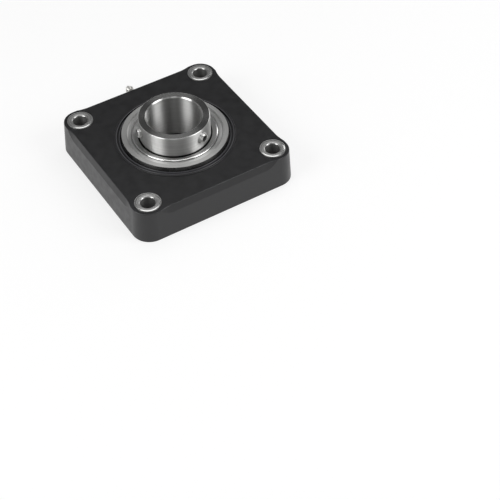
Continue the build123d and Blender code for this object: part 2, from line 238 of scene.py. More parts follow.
class PlasticLook(bpy.types.PropertyGroup):
    """Finish of the moulded housing and of the rubber seal lips."""

    colour: colour_property("Housing", "Colour of the moulded housing", "housing_plastic")
    roughness: factor_property("Roughness", "How matt the moulded skin is", 0.36)
    grain_size: length_property("Grain", "Distance between the bumps of the moulded skin", 0.45 * MM)
    grain_depth: length_property("Grain depth", "Depth of the moulded skin's texture", 0.012 * MM)
    ripple_size: length_property("Ripple", "Distance between the slow waves of its faces", 16 * MM)
    ripple_depth: length_property("Ripple depth", "Height of the slow waves", 0.02 * MM)
    # Painted highlights: the next two tones lighten the rounded edges and the edges of the cover groove
    edge_highlight_tone: amount_property("Edge tone", "How light the rubbed edges are", 3.0)
    groove_highlight_tone: amount_property("Groove edge tone", "How light the edges of the cover groove are", 8.0)
    edge_roughness: factor_property("Edge roughness", "How matt the rubbed edges are", 0.28)
    edge_lean: factor_property("Edge lean", "How steeply the edges of the cover groove lean", 0.3)
    edge_reach: length_property("Edge reach", "How far these edges are finished from the balls", 8 * MM)
    land_radius: length_property("Land", "Radius where the land inside the groove starts", 40.03 * MM)
    land_edge: length_property("Land edge", "Radius where that land ends", 40.73 * MM)
    groove_radius: length_property("Cover groove", "Radius where the cover groove ends", 42.23 * MM)
    groove_edge: length_property("Groove edge", "Radius where the soft edge outside it ends", 42.83 * MM)
    rubber: colour_property("Rubber", "Colour of the seal lips", "seal_rubber")


class SteelLook(bpy.types.PropertyGroup):
    """Finish of the turned, ground, pressed and polished steel."""

    ring: colour_property("Rings", "Colour of the ground bearing rings", "ring_steel")
    shield: colour_property("Shields", "Colour of the pressed shields and flingers", "shield_steel")
    sleeve: colour_property("Sleeves", "Colour of the bolt sleeves", "sleeve_steel")
    screw: colour_property("Screws", "Colour of the set screws", "screw_steel")
    fitting: colour_property("Fitting", "Colour of the grease fitting", "fitting_steel")
    cage: colour_property("Cage", "Colour of the ball cage", "cage_steel")
    ball: colour_property("Balls", "Colour of the balls", "ball_steel")
    line_pitch: length_property("Fine lines", "Distance between the finest turning lines", 0.14 * MM)
    band_pitch: length_property("Bands", "Distance between the wider turning bands", 1.1 * MM)
    mark_size: length_property("Marks", "Size of the faint marks left by handling", 9 * MM)
    # Painted dark reflection: the faced ends of the inner ring get a darker colour than its other faces
    painted_end_tone: factor_property("End faces", "How light the faced ends of the inner ring are", 0.4)
    end_roughness: factor_property("End roughness", "How matt the faced ends of the inner ring are", 0.24)
    # Painted shade: the next colour darkens the gap between the collar and the flinger, as far as the
    # three lengths after it reach
    gap_shade: colour_property("Grease", "Colour of the grease beside the collar", "seal_rubber")
    gap_shade_radius: length_property("Grease radius", "How far it reaches from the shaft's axis", 27 * MM)
    gap_shade_width: length_property("Grease width", "Width of its band on the inner ring's face", 2 * MM)
    gap_shade_reach: length_property("Grease reach", "How far it reaches along the shaft", 9.2 * MM)
    rim_width: length_property("Flinger rim", "Width of the bright rim of the flingers", 1.2 * MM)
    rim_chamfer: length_property("Flinger chamfer", "Width of the chamfer outside that rim", 0.2 * MM)
    rim_lean: length_property("Flinger lean", "How far the flinger's rim leans outwards", 0.63 * MM)
    # Painted highlight: the sleeves' bright rim has a lighter colour than their flange
    sleeve_rim: length_property("Sleeve rim", "Width of the bright rim of the sleeves' flanges", 0.9 * MM)
    sleeve_inset: length_property("Sleeve inset", "From that rim to the flange's edge", 0.5 * MM)
    sleeve_lean: length_property("Sleeve lean", "How far the sleeve's rim leans outwards", 0.21 * MM)


class ScrewSizes(bpy.types.PropertyGroup):
    """Sizes of a set screw, from its cup point to its socket."""

    diameter: length_property("Diameter", "Diameter over the thread", 7.9 * MM)
    length: length_property("Length", "Length from cup point to socket face", 8 * MM)
    pitch: length_property("Pitch", "Pitch of the thread", 1 * MM)
    thread_depth: length_property("Thread depth", "Depth of the thread", 0.55 * MM)
    end_chamfer: length_property("End chamfer", "Chamfer at both ends", 0.6 * MM)
    cup_radius: length_property("Cup", "Radius of the cup point", 2 * MM)
    cup_depth: length_property("Cup depth", "Depth of the cup point", 1 * MM)
    socket_width: length_property("Socket", "Width across the flats of the socket", 4 * MM)
    socket_depth: length_property("Socket depth", "Depth of the socket", 4 * MM)
    segments: count_property("Segments", "Points round the screw", 12, 60)


class FittingSizes(bpy.types.PropertyGroup):
    """Sizes of the grease fitting, counted outwards from the face it stands on, and of its spring."""

    thread_diameter: length_property("Thread", "Diameter over the thread", 6 * MM)
    thread_length: length_property("Thread length", "Length of the threaded shank", 6 * MM)
    thread_depth: length_property("Thread depth", "Depth of the thread", 0.5 * MM)
    pitch: length_property("Pitch", "Pitch of the thread", 1 * MM)
    hex_width: length_property("Hexagon", "Width across the flats", 7 * MM)
    hex_height: length_property("Hexagon height", "Height of the hexagon", 3 * MM)
    neck_radius: length_property("Neck", "Radius of the neck", 2.1 * MM)
    neck_end: length_property("Neck end", "Where the neck meets the head's cone", 5.4 * MM)
    head_radius: length_property("Head", "Radius of the head's rim", 3.2 * MM)
    head_start: length_property("Rim", "Where the head is widest", 7 * MM)
    tip_radius: length_property("Tip", "Radius of the flat tip", 1.9 * MM)
    mouth_radius: length_property("Mouth", "Radius of the mouth", 0.8 * MM)
    mouth_length: length_property("Mouth length", "Length of the mouth", 1.2 * MM)
    chamber_radius: length_property("Chamber", "Radius of the check ball's chamber", 1.3 * MM)
    chamber_start: length_property("Chamber start", "Where the chamber's shoulder is", 0.6 * MM)
    bore_radius: length_property("Bore", "Radius of the bore through the shank", 0.9 * MM)
    segments: count_property("Segments", "Points round the fitting", 12, 60)
    spring_wire: length_property("Spring wire", "Diameter of the check spring's wire", 0.3 * MM)
    spring_turns: count_property("Spring turns", "Turns of the check spring", 1, 6)


class StageLook(bpy.types.PropertyGroup):
    """Camera, lights and floor."""

    target: FloatVectorProperty(
        name="Target",
        description="Point on the floor in the middle of the view",
        subtype="TRANSLATION",
        unit="LENGTH",
        default=(-3.04 * MM, -106.2 * MM, 0),
    )
    distance: length_property("Distance", "From the target to the camera", 0.91278)
    azimuth: angle_property("Azimuth", "Direction of the camera, seen from the target", -121.445)
    elevation: angle_property("Elevation", "Height of the camera above the floor", 46.381)
    roll: angle_property("Roll", "Tilt of the camera round its own line of sight", -0.904)
    lens: FloatProperty(name="Lens", description="Focal length", unit="CAMERA", default=95.262)
    floor_colour: FloatVectorProperty(
        name="Floor",
        description="Colour of the floor",
        subtype="COLOR",
        size=3,
        min=0,
        max=1,
        default=(0.3, 0.3, 0.3),
    )
    floor_shade: length_property("Shaded floor", "How far the floor under the unit is kept dark", 54 * MM)
    floor_glow: amount_property("Glow", "Light that the pale floor gives off", 0.74)
    sky: factor_property("Surroundings", "Brightness of the plain surroundings", 0.18)
    left_azimuth: angle_property("Left softbox", "Direction of the left softbox from the unit", -175)
    left_power: power_property("Left power", "Power of the left softbox", 6.0)
    right_azimuth: angle_property("Right softbox", "Direction of the right softbox from the unit", -49)
    right_power: power_property("Right power", "Power of the right softbox", 5.6)
    side_elevation: angle_property("Softbox height", "Height of both side softboxes above the floor", 36)
    side_width: length_property("Softbox width", "Width of both side softboxes", 0.65)
    side_height: length_property("Softbox depth", "Height of the panel of both side softboxes", 0.7)
    rear_azimuth: angle_property("Rear softbox", "Direction of the rear softbox from the unit", 22)
    rear_elevation: angle_property("Rear height", "Height of the rear softbox above the floor", 27)
    rear_power: power_property("Rear power", "Power of the rear softbox", 1.2)
    rear_width: length_property("Rear width", "Width of the rear softbox", 0.5)
    front_elevation: angle_property("Front height", "Height of the front softbox above the floor", 46)
    front_power: power_property("Front power", "Power of the front softbox, behind the camera", 0.25)
    front_width: length_property("Front width", "Width of the front softbox", 0.3)
    top_azimuth: angle_property("Top softbox", "Direction in which the top softbox leans", 62)
    top_elevation: angle_property("Top height", "Height of the top softbox above the floor", 72)
    top_power: power_property("Top power", "Power of the top softbox", 2.2)
    top_width: length_property("Top width", "Width of the top softbox", 0.7)
    light_distance: length_property("Light distance", "From the unit to each softbox", 1.2)


PROPERTIES = {
    "bearing_plastic": PlasticLook,
    "bearing_steel": SteelLook,
    "bearing_screw": ScrewSizes,
    "bearing_fitting": FittingSizes,
    "bearing_stage": StageLook,
}


# Nodes of a material


def new_material(name, colour, metallic=0.0):
    """A material with one shader."""
    material = bpy.data.materials.new(name)
    material.use_nodes = True
    material.diffuse_color = (*colour, 1)
    shader = shader_of(material)
    shader.inputs["Base Color"].default_value = (*colour, 1)
    shader.inputs["Metallic"].default_value = metallic
    return material


def shader_of(material):
    """The material's shader."""
    return material.node_tree.nodes["Principled BSDF"]


def add_node(material, kind, inputs=None, **settings):
    """Adds a node. An input that is given as another node's output is joined up."""
    tree = material.node_tree
    node = tree.nodes.new(kind)
    for key, value in settings.items():
        setattr(node, key, value)
    for socket, value in (inputs or {}).items():
        if isinstance(value, bpy.types.NodeSocket):
            tree.links.new(value, node.inputs[socket])
        else:
            node.inputs[socket].default_value = value
    return node


def join(material, outputs):
    """Joins outputs to the shader's sockets."""
    for socket, output in outputs.items():
        material.node_tree.links.new(output, shader_of(material).inputs[socket])


def joined_to(material, socket):
    """The output that is joined to a socket of the shader."""
    return shader_of(material).inputs[socket].links[0].from_socket


def scaled(colour, share):
    """A colour made lighter or darker."""
    return tuple(min(1.0, channel * share) for channel in colour)


def object_coordinates(material):
    """Place on the part, in metres."""
    return add_node(material, "ShaderNodeTexCoord").outputs["Object"]


def noise(material, vector, size, detail=2.0, dimensions="3D"):
    """Noise whose features are about one size apart."""
    inputs = {"Vector": vector, "Scale": 1 / size, "Detail": detail}
    return add_node(material, "ShaderNodeTexNoise", inputs, noise_dimensions=dimensions).outputs["Fac"]


def spread(material, value, low, high, start=0.35, end=0.65):
    """Goes from low to high as a value goes from start to end."""
    inputs = {"Value": value, "From Min": start, "From Max": end, "To Min": low, "To Max": high}
    return add_node(material, "ShaderNodeMapRange", inputs, clamp=True).outputs["Result"]


def mixed(material, kind, share, first, second):
    """Goes from a first value or colour to a second as the share goes from 0 to 1."""
    first_socket, second_socket, result = MIX_SOCKETS[kind]
    inputs = {0: share, first_socket: first, second_socket: second}
    return add_node(material, "ShaderNodeMix", inputs, data_type=kind).outputs[result]


def varied(material, colour, value, low, high):
    """Goes from a low share of a colour to a high one as the noise rises."""
    share = spread(material, value, 0, 1)
    return mixed(material, "RGBA", share, (*scaled(colour, low), 1), (*scaled(colour, high), 1))


def uneven(material, roughness, value, low, high):
    """Goes from below a roughness to above it as the noise rises."""
    return spread(material, value, roughness + low, roughness + high)


def bump(material, height, depth, below=None):
    """Turns a height from 0 to 1 into a relief of a real depth, on top of another relief."""
    inputs = {"Height": height, "Distance": depth, "Strength": 1.0}
    if below is not None:
        inputs["Normal"] = below
    return add_node(material, "ShaderNodeBump", inputs).outputs["Normal"]


def calculated(material, operation, *values):
    """Result of an operation on values."""
    return add_node(material, "ShaderNodeMath", dict(enumerate(values)), operation=operation).outputs[0]


def vector_from(material, operation, *vectors):
    """Vector that an operation makes of vectors."""
    inputs = dict(enumerate(vectors))
    return add_node(material, "ShaderNodeVectorMath", inputs, operation=operation).outputs["Vector"]


def length_along(material, vector, direction):
    """Length of a vector along a direction."""
    inputs = {0: vector, 1: direction}
    return add_node(material, "ShaderNodeVectorMath", inputs, operation="DOT_PRODUCT").outputs["Value"]


# Places on a turned piece


def turned_place(material, centre, direction, mirrored):
    """Place on the part, radius and height on a turned piece, and direction of its turning lines.

    A mirrored piece stands in all four corners, and the centre is given for the one on +X and +Y.
    """
    place = object_coordinates(material)
    if mirrored:
        centre = vector_from(material, "MULTIPLY", vector_from(material, "SIGN", place), centre)
    spoke = vector_from(material, "SUBTRACT", place, centre)
    line = vector_from(material, "NORMALIZE", vector_from(material, "CROSS_PRODUCT", direction, spoke))
    across = vector_from(material, "CROSS_PRODUCT", line, direction)
    parts = {"X": length_along(material, spoke, across), "Y": length_along(material, spoke, direction)}
    return place, add_node(material, "ShaderNodeCombineXYZ", parts).outputs["Vector"], line


def facing(material):
    """How squarely a face looks along the shaft, from 0 to 1."""
    normal = add_node(material, "ShaderNodeTexCoord").outputs["Normal"]
    return calculated(material, "ABSOLUTE", length_along(material, normal, UP))


def radius_within(material, centre, reach=1.0, direction=UP, mirrored=False):
    """Radius from an axis, and a share that is 1 as far as a reach along it from a centre."""
    rings = turned_place(material, centre, direction, mirrored)[1]
    parts = add_node(material, "ShaderNodeSeparateXYZ", {"Vector": rings}).outputs
    height = calculated(material, "ABSOLUTE", parts["Y"])
    return parts["X"], spread(material, height, 1, 0, reach, reach + SOFT_EDGE)


# Finishes of parts of a piece


def refinish(material, share, colour, finish):
    """Where the share is 1, the material gets another finish."""
    second = (*scaled(colour, finish.tone), 1)
    tone = mixed(material, "RGBA", share, joined_to(material, "Base Color"), second)
    rough = mixed(material, "FLOAT", share, joined_to(material, "Roughness"), finish.roughness)
    join(material, {"Base Color": tone, "Roughness": rough})


def finish_facing(material, limits, colour, finish):
    """Another finish on what looks along the shaft, more squarely than the limits."""
    refinish(material, spread(material, facing(material), 0, 1, *limits), colour, finish)


def paint_edge_highlight(material, colour, finish):
    """Painted highlight on rounded edges, between the faces along the shaft and the steep sides."""
    square = facing(material)
    above = spread(material, square, 0, 1, *EDGE_START)
    below = spread(material, square, 1, 0, *EDGE_END)
    refinish(material, calculated(material, "MULTIPLY", above, below), colour, finish)


def finish_within(material, radii, colour, finish, centre, **place):
    """Another finish between two radii from an axis, as far as a reach along it from a centre."""
    radius, near = radius_within(material, centre, **place)
    outside = spread(material, radius, 0, 1, radii[0], radii[0] + SOFT_EDGE)
    inside = spread(material, radius, 1, 0, radii[1], radii[1] + SOFT_EDGE)
    between = calculated(material, "MULTIPLY", outside, inside)
    refinish(material, calculated(material, "MULTIPLY", near, between), colour, finish)


def lean_ring(material, radii, heights, depth, centre, **place):
    """Leans a level face between two radii from an axis, by a relief of a depth."""
    radius, near = radius_within(material, centre, **place)
    slope = calculated(material, "MULTIPLY", near, spread(material, radius, *heights, *radii))
    join(material, {"Normal": bump(material, slope, depth, joined_to(material, "Normal"))})


# Materials


def moulded_plastic(look):
    """Dark thermoplastic with a fine matt skin, slow waves, faint rubbed patches and painted edge
    highlights.
    """
    material = new_material("Moulded plastic", look.colour)
    place = object_coordinates(material)
    skin = noise(material, place, look.grain_size, detail=5)
    waves = noise(material, place, look.ripple_size)
    rubbed = noise(material, place, look.ripple_size / 3, detail=6)
    relief = bump(material, waves, look.ripple_depth)
    outputs = {
        "Base Color": varied(material, look.colour, rubbed, *PLASTIC_TONES),
        "Roughness": uneven(material, look.roughness, rubbed, *PLASTIC_UNEVENNESS),
        "Normal": bump(material, skin, look.grain_depth, relief),
    }
    join(material, outputs)
    # Painted highlight: a lighter colour on the rounded edges
    paint_edge_highlight(material, look.colour, Finish(look.edge_highlight_tone, look.edge_roughness))
    # Painted highlight: a lighter colour on the edges of the land and of the cover groove, which a relief
    # also leans
    line = Finish(look.groove_highlight_tone, look.edge_roughness)
    near = {"centre": SEAT_CENTRE, "reach": look.edge_reach}
    for radii in ((look.land_radius, look.land_edge), (look.groove_radius, look.groove_edge)):
        finish_within(material, radii, look.colour, line, **near)
        lean_ring(material, radii, RISING, (radii[1] - radii[0]) * look.edge_lean, **near)
    return material


def rubber(look):
    """Black rubber with a fine grain."""
    material = new_material("Seal rubber", look.rubber)
    place = object_coordinates(material)
    grain = noise(material, place, look.grain_size / 2, detail=4)
    outputs = {
        "Roughness": spread(material, grain, *RUBBER_ROUGHNESS),
        "Normal": bump(material, grain, look.grain_depth / 2),
    }
    join(material, outputs)
    return material


def turned_steel(name, look, colour, finish, centre, direction=UP, mirrored=False):
    """Steel with turning lines round an axis, wider bands among them and faint marks of handling."""
    colour = scaled(colour, finish.tone)
    material = new_material(name, colour, metallic=1.0)
    shader_of(material).inputs["Anisotropic"].default_value = finish.sheen
    shader_of(material).inputs["Anisotropic Rotation"].default_value = ACROSS_LINES
    place, rings, line = turned_place(material, centre, direction, mirrored)
    lines = noise(material, rings, look.line_pitch, detail=3, dimensions="2D")
    bands = noise(material, rings, look.band_pitch, detail=4, dimensions="2D")
    marks = noise(material, place, look.mark_size, detail=6)
    outputs = {
        "Base Color": varied(material, colour, bands, *STEEL_TONES),
        "Roughness": uneven(material, finish.roughness, marks, *STEEL_UNEVENNESS),
        "Normal": bump(material, lines, finish.line_depth),
        "Tangent": line,
    }
    join(material, outputs)
    return material


def pressed_steel(look):
    """Sheet steel of the cage, matt from tumbling."""
    material = new_material("Pressed cage steel", look.cage, metallic=1.0)
    place = object_coordinates(material)
    tumbled = noise(material, place, look.band_pitch, detail=6)
    marks = noise(material, place, look.mark_size, detail=4)
    outputs = {
        "Base Color": varied(material, look.cage, marks, *CAGE_TONES),
        "Roughness": spread(material, tumbled, *CAGE_ROUGHNESS),
        "Normal": bump(material, tumbled, look.line_pitch / 10),
    }
    join(material, outputs)
    return material


def polished_steel(look):
    """Bearing balls: a mirror finish with a thin uneven film of oil."""
    material = new_material("Polished ball steel", look.ball, metallic=1.0)
    film = noise(material, object_coordinates(material), look.mark_size / 3, detail=5)
    outputs = {
        "Base Color": varied(material, look.ball, film, *BALL_TONES),
        "Roughness": spread(material, film, *BALL_ROUGHNESS),
    }
    join(material, outputs)
    return material


def finish_nodes(material, names):
    """Gives CAD nodes a finish."""
    for name in names:
        materials = frame["nodes"][name].data.materials
        materials.clear()
        materials.append(material)


# Shapes of the threaded pieces and the spring


def thread_radius(angle, height, crest, depth, pitch):
    """Radius of a screw thread whose crests and roots are flat."""
    phase = (height / pitch - angle / math.tau) % 1
    ramp = abs(2 * phase - 1) * (1 + 2 * THREAD_FLAT) - THREAD_FLAT
    return crest - depth * (1 - min(1, max(0, ramp)))


def hexagon_radius(angle, width):
    """Distance from the middle of a hexagon to its side."""
    corner = math.pi / 3
    return width / 2 / math.cos((angle % corner) - corner / 2)


def round_row(height, radius):
    """A round row of a lathed piece."""
    return height, lambda angle: radius


def hexagon_row(height, width, limit):
    """A hexagonal row of a lathed piece, whose corners are turned down to a limit."""
    return height, lambda angle: min(limit, hexagon_radius(angle, width))


def thread_rows(start, length, crest, depth, pitch, chamfer):
    """Rows of a thread that is chamfered at both ends."""
    count = round(THREAD_STEPS * length / pitch)
    rows = []
    for step in range(count + 1):
        height = start + length * step / count
        limit = crest - max(0, chamfer - min(height - start, start + length - height))

        def radius(angle, height=height, limit=limit):
            return min(limit, thread_radius(angle, height, crest, depth, pitch))

        rows.append((height, radius))
    return rows


def set_row(verts, row):
    """Moves a ring of points to a row's height and radius."""
    height, radius_at = row
    for vert in verts:
        angle = math.atan2(vert.co.y, vert.co.x)
        radius = radius_at(angle)
        vert.co = (radius * math.cos(angle), radius * math.sin(angle), height)


def lathed_shell(rows, segments):
    """A closed shell through rows round Z, with its first and last row filled."""
    shell = bmesh.new()
    start = bmesh.ops.create_circle(shell, cap_ends=True, segments=segments, radius=1.0)
    set_row(start["verts"], rows[0])
    edges = list(shell.edges)
    for row in rows[1:]:
        grown = bmesh.ops.extrude_edge_only(shell, edges=edges)["geom"]
        verts = {item for item in grown if isinstance(item, bmesh.types.BMVert)}
        edges = [edge for edge in shell.edges if edge.verts[0] in verts and edge.verts[1] in verts]
        set_row(verts, row)
    bmesh.ops.edgeloop_fill(shell, edges=edges)
    return shell


def coiled_shell(width, height, wire, turns):
    """A closed coil of round wire round Z, which stands on 0."""
    shell = bmesh.new()
    start = Matrix.Translation(((width - wire) / 2, 0, wire / 2)) @ Matrix.Rotation(math.pi / 2, 4, "X")
    bmesh.ops.create_circle(shell, cap_ends=True, segments=WIRE_SEGMENTS, radius=wire / 2, matrix=start)
    steps = COIL_STEPS * turns
    coil = bmesh.ops.spin(
        shell,
        geom=list(shell.edges),
        cent=(0, 0, 0),
        axis=UP,
        dvec=(0, 0, (height - wire) / steps),
        angle=math.tau * turns,
        steps=steps,
    )
    end = [item for item in coil["geom_last"] if isinstance(item, bmesh.types.BMEdge)]
    bmesh.ops.edgeloop_fill(shell, edges=end)
    return shell


def add_piece(name, shell, origin, direction, material, body):
    """Makes a closed shell an object in its place, with a finish, which rides on a body."""
    bmesh.ops.recalc_face_normals(shell, faces=shell.faces)
    turn = direction.to_track_quat("Z", "X").to_matrix().to_4x4()
    bmesh.ops.transform(shell, matrix=Matrix.Translation(origin) @ turn, verts=shell.verts)
    for face in shell.faces:
        face.smooth = True
    for edge in shell.edges:
        edge.smooth = edge.calc_face_angle(0) < SMOOTH_ANGLE
    mesh = bpy.data.meshes.new(name)
    shell.to_mesh(mesh)
    shell.free()
    mesh.materials.append(material)
    piece = bpy.data.objects.new(name, mesh)
    bpy.context.scene.collection.objects.link(piece)
    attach(piece, body)
    return piece


def screw_rows(sizes):
    """Rows of a set screw, from inside its cup point to the foot of its socket."""
    crest = sizes.diameter / 2
    core = crest - sizes.end_chamfer
    end_edge = core - sizes.end_chamfer / 4
    cup_foot = sizes.cup_radius * 0.1
    socket_corner = sizes.socket_width / 2 / math.cos(math.pi / 6)
    socket_mouth = socket_corner * 1.04
    mouth_depth = sizes.socket_width * 0.05
    socket_foot = sizes.length - sizes.socket_depth
    cone_depth = sizes.socket_width * 0.2
    cone_point = sizes.socket_width * 0.05
    rows = [round_row(sizes.cup_depth, cup_foot), round_row(0, sizes.cup_radius), round_row(0, end_edge)]
    rows += thread_rows(0, sizes.length, crest, sizes.thread_depth, sizes.pitch, sizes.end_chamfer)
    rows += [
        round_row(sizes.length, socket_mouth),
        hexagon_row(sizes.length - mouth_depth, sizes.socket_width, socket_corner),
        hexagon_row(socket_foot, sizes.socket_width, socket_corner),
        round_row(socket_foot - cone_depth, cone_point),
    ]
    return rows


def fitting_rows(sizes, length):
    """Rows of the grease fitting, out along its outside and back in through its bore."""
    crest = sizes.thread_diameter / 2
    shank_edge = crest * 0.8
    shank_end = -sizes.thread_length
    corner = sizes.hex_width / math.sqrt(3)
    bevel = corner - sizes.hex_width / 2
    edge = sizes.hex_width / 2 * 0.98
    depth = sizes.thread_depth
    rows = [round_row(shank_end, sizes.bore_radius), round_row(shank_end, shank_edge)]
    rows += thread_rows(shank_end, sizes.thread_length, crest, depth, sizes.pitch, depth)
    rows += [
        round_row(0, edge),
        hexagon_row(bevel / 2, sizes.hex_width, corner),
        hexagon_row(sizes.hex_height - bevel / 2, sizes.hex_width, corner),
        round_row(sizes.hex_height, edge),
        round_row(sizes.hex_height, sizes.neck_radius),
        round_row(sizes.neck_end, sizes.neck_radius),
        round_row(sizes.head_start, sizes.head_radius),
        round_row(length, sizes.tip_radius),
        round_row(length, sizes.mouth_radius),
        round_row(length - sizes.mouth_length, sizes.mouth_radius),
        round_row(length - sizes.mouth_length, sizes.chamber_radius),
        round_row(sizes.chamber_start, sizes.chamber_radius),
        round_row(sizes.chamber_start, sizes.bore_radius),
    ]
    return rows


# Operators


class BEARING_OT_finish_housing(bpy.types.Operator):
    """Give the housing its moulded skin and the seal lips their rubber"""

    bl_idname = "bearing.finish_housing"
    bl_label = "Finish Housing"
    bl_options = {"REGISTER", "UNDO"}

    def execute(self, context):
        look = context.scene.bearing_plastic
        finish_nodes(moulded_plastic(look), ["housing"])
        finish_nodes(rubber(look), [f"{side}_seal_lip" for side in SIDES])
        return {"FINISHED"}


class BEARING_OT_finish_sleeves(bpy.types.Operator):
    """Give the four bolt sleeves their satin steel"""

    bl_idname = "bearing.finish_sleeves"
    bl_label = "Finish Sleeves"
    bl_options = {"REGISTER", "UNDO"}

    def execute(self, context):
        look = context.scene.bearing_steel
        corner = centre_of(SLEEVES[0])
        place = {"centre": Vector((abs(corner.x), abs(corner.y), 0)), "mirrored": True}
        steel = turned_steel("Sleeve steel", look, look.sleeve, SLEEVE_BORE, **place)
        # Painted highlights: a lighter colour on the sloped edges and on the rim of the flange
        finish_facing(steel, SLOPED, look.sleeve, SLEEVE_EDGE_HIGHLIGHT)
        finish_facing(steel, LEVEL, look.sleeve, SLEEVE_FLANGE)
        rim_edge = SLEEVE_RADIUS - look.sleeve_inset
        rim = (rim_edge - look.sleeve_rim, rim_edge)
        finish_within(steel, rim, look.sleeve, SLEEVE_RIM_HIGHLIGHT, **place)
        lean_ring(steel, rim, FALLING, look.sleeve_lean, **place)
        finish_nodes(steel, SLEEVES)
        return {"FINISHED"}


class BEARING_OT_finish_rings(bpy.types.Operator):
    """Give the bearing rings their ground steel, and the shields and flingers their bright steel"""

    bl_idname = "bearing.finish_rings"
    bl_label = "Finish Rings"
    bl_options = {"REGISTER", "UNDO"}

    def execute(self, context):
        look = context.scene.bearing_steel
        # Painted reflection: the outer ring's spherical outside is darkened, as if mirroring the dark
        # housing
        outer = turned_steel("Ground ring steel", look, look.ring, RING_OUTSIDE_PAINTED_DARK, SEAT_CENTRE)
        finish_facing(outer, RING_END, look.ring, RING_FACES)
        inner = turned_steel("Ground collar steel", look, look.ring, COLLAR_WALL, SEAT_CENTRE)
        # Painted highlight: lighter chamfers on the collar, with a smoother finish
        finish_facing(inner, CHAMFERED, look.ring, COLLAR_EDGE_HIGHLIGHT)
        # Painted dark reflection: a darker colour on the collar's end faces
        finish_facing(inner, COLLAR_END, look.ring, Finish(look.painted_end_tone, look.end_roughness))
        shield = turned_steel("Bright shield steel", look, look.shield, SHEET, SEAT_CENTRE)
        flinger = turned_steel("Flinger steel", look, look.shield, SHEET, SEAT_CENTRE)
        rim = FLINGER_RADIUS - look.rim_width
        leaning = (rim, FLINGER_RADIUS - look.rim_chamfer)
        # Painted shade: a darker dish on the flingers, as if in the collar's shadow
        finish_within(flinger, (0, rim), look.shield, FLINGER_DISH_SHADE, SEAT_CENTRE)
        finish_within(flinger, (rim, FLINGER_RADIUS), look.shield, FLINGER_RIM, SEAT_CENTRE)
        lean_ring(flinger, leaning, FALLING, look.rim_lean, SEAT_CENTRE)
        # Painted shade: the seal rubber's black in the gap between the collar and the flinger, and on the
        # flinger's hub
        near = {"centre": SEAT_CENTRE, "reach": look.gap_shade_reach}
        beside_collar = (look.gap_shade_radius - look.gap_shade_width, look.gap_shade_radius)
        finish_within(flinger, (0, look.gap_shade_radius), look.gap_shade, GAP_SHADE, **near)
        finish_within(inner, beside_collar, look.gap_shade, GAP_SHADE, **near)
        finish_nodes(outer, ["outer_ring"])
        finish_nodes(inner, ["inner_ring"])
        finish_nodes(shield, [f"{side}_shield" for side in SIDES])
        finish_nodes(flinger, [f"{side}_flinger" for side in SIDES])
        return {"FINISHED"}


class BEARING_OT_finish_balls(bpy.types.Operator):
    """Polish the balls, and give the cage its tumbled steel"""

    bl_idname = "bearing.finish_balls"
    bl_label = "Finish Balls and Cage"
    bl_options = {"REGISTER", "UNDO"}

    def execute(self, context):
        look = context.scene.bearing_steel
        finish_nodes(polished_steel(look), BALLS + ["check_ball"])
        finish_nodes(pressed_steel(look), [f"{side}_cage_half" for side in SIDES] + ["cage_rivets"])
        return {"FINISHED"}


class BEARING_OT_make_screws(bpy.types.Operator):
    """Make the two set screws, with real threads and sockets"""

    bl_idname = "bearing.make_screws"
    bl_label = "Make Set Screws"
    bl_options = {"REGISTER", "UNDO"}

    def execute(self, context):
        look = context.scene.bearing_steel
        sizes = context.scene.bearing_screw
        for number, node in enumerate(SCREWS, start=1):
            middle = centre_of(node)
            direction = Vector((middle.x, middle.y, 0)).normalized()
            origin = middle - direction * sizes.length / 2
            place = {"centre": origin, "direction": direction}
            steel = turned_steel(f"Screw steel {number}", look, look.screw, SCREW_BODY, **place)
            # Painted shade: a darker colour within the socket's radius, in the socket and the cup point
            socket = (0, sizes.socket_width * SOCKET_REACH)
            finish_within(steel, socket, look.screw, SCREW_SOCKET_SHADE, **place)
            shell = lathed_shell(screw_rows(sizes), sizes.segments)
            name = f"threaded_screw_{number}"
            piece = add_piece(name, shell, origin, direction, steel, f"screw_{number}")
            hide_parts(node)
        return {"FINISHED"}


class BEARING_OT_make_fitting(bpy.types.Operator):
    """Make the grease fitting, with its thread and chamfered hexagon, and its check spring"""

    bl_idname = "bearing.make_fitting"
    bl_label = "Make Grease Fitting"
    bl_options = {"REGISTER", "UNDO"}

    def execute(self, context):
        look = context.scene.bearing_steel
        sizes = context.scene.bearing_fitting
        low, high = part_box("grease_fitting")
        origin = Vector((SEAT_CENTRE.x, low.y + sizes.thread_length, SEAT_CENTRE.z))
        steel = turned_steel("Fitting steel", look, look.fitting, FITTING_BODY, origin, OUTWARDS)
        shell = lathed_shell(fitting_rows(sizes, high.y - origin.y), sizes.segments)
        piece = add_piece("threaded_fitting", shell, origin, OUTWARDS, steel, "housing")
        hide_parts("grease_fitting")
        self.add_spring(sizes, steel)
        return {"FINISHED"}

    def add_spring(self, sizes, steel):
        """The check spring stands on its low end."""
        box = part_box("check_spring")
        low, high = box
        foot = Vector(((low.x + high.x) / 2, low.y, (low.z + high.z) / 2))
        height = high.y - low.y
        shell = coiled_shell(high.x - low.x, height, sizes.spring_wire, sizes.spring_turns)
        spring = add_piece("coiled_spring", shell, foot, OUTWARDS, steel, "housing")
        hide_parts("check_spring")
        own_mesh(spring)


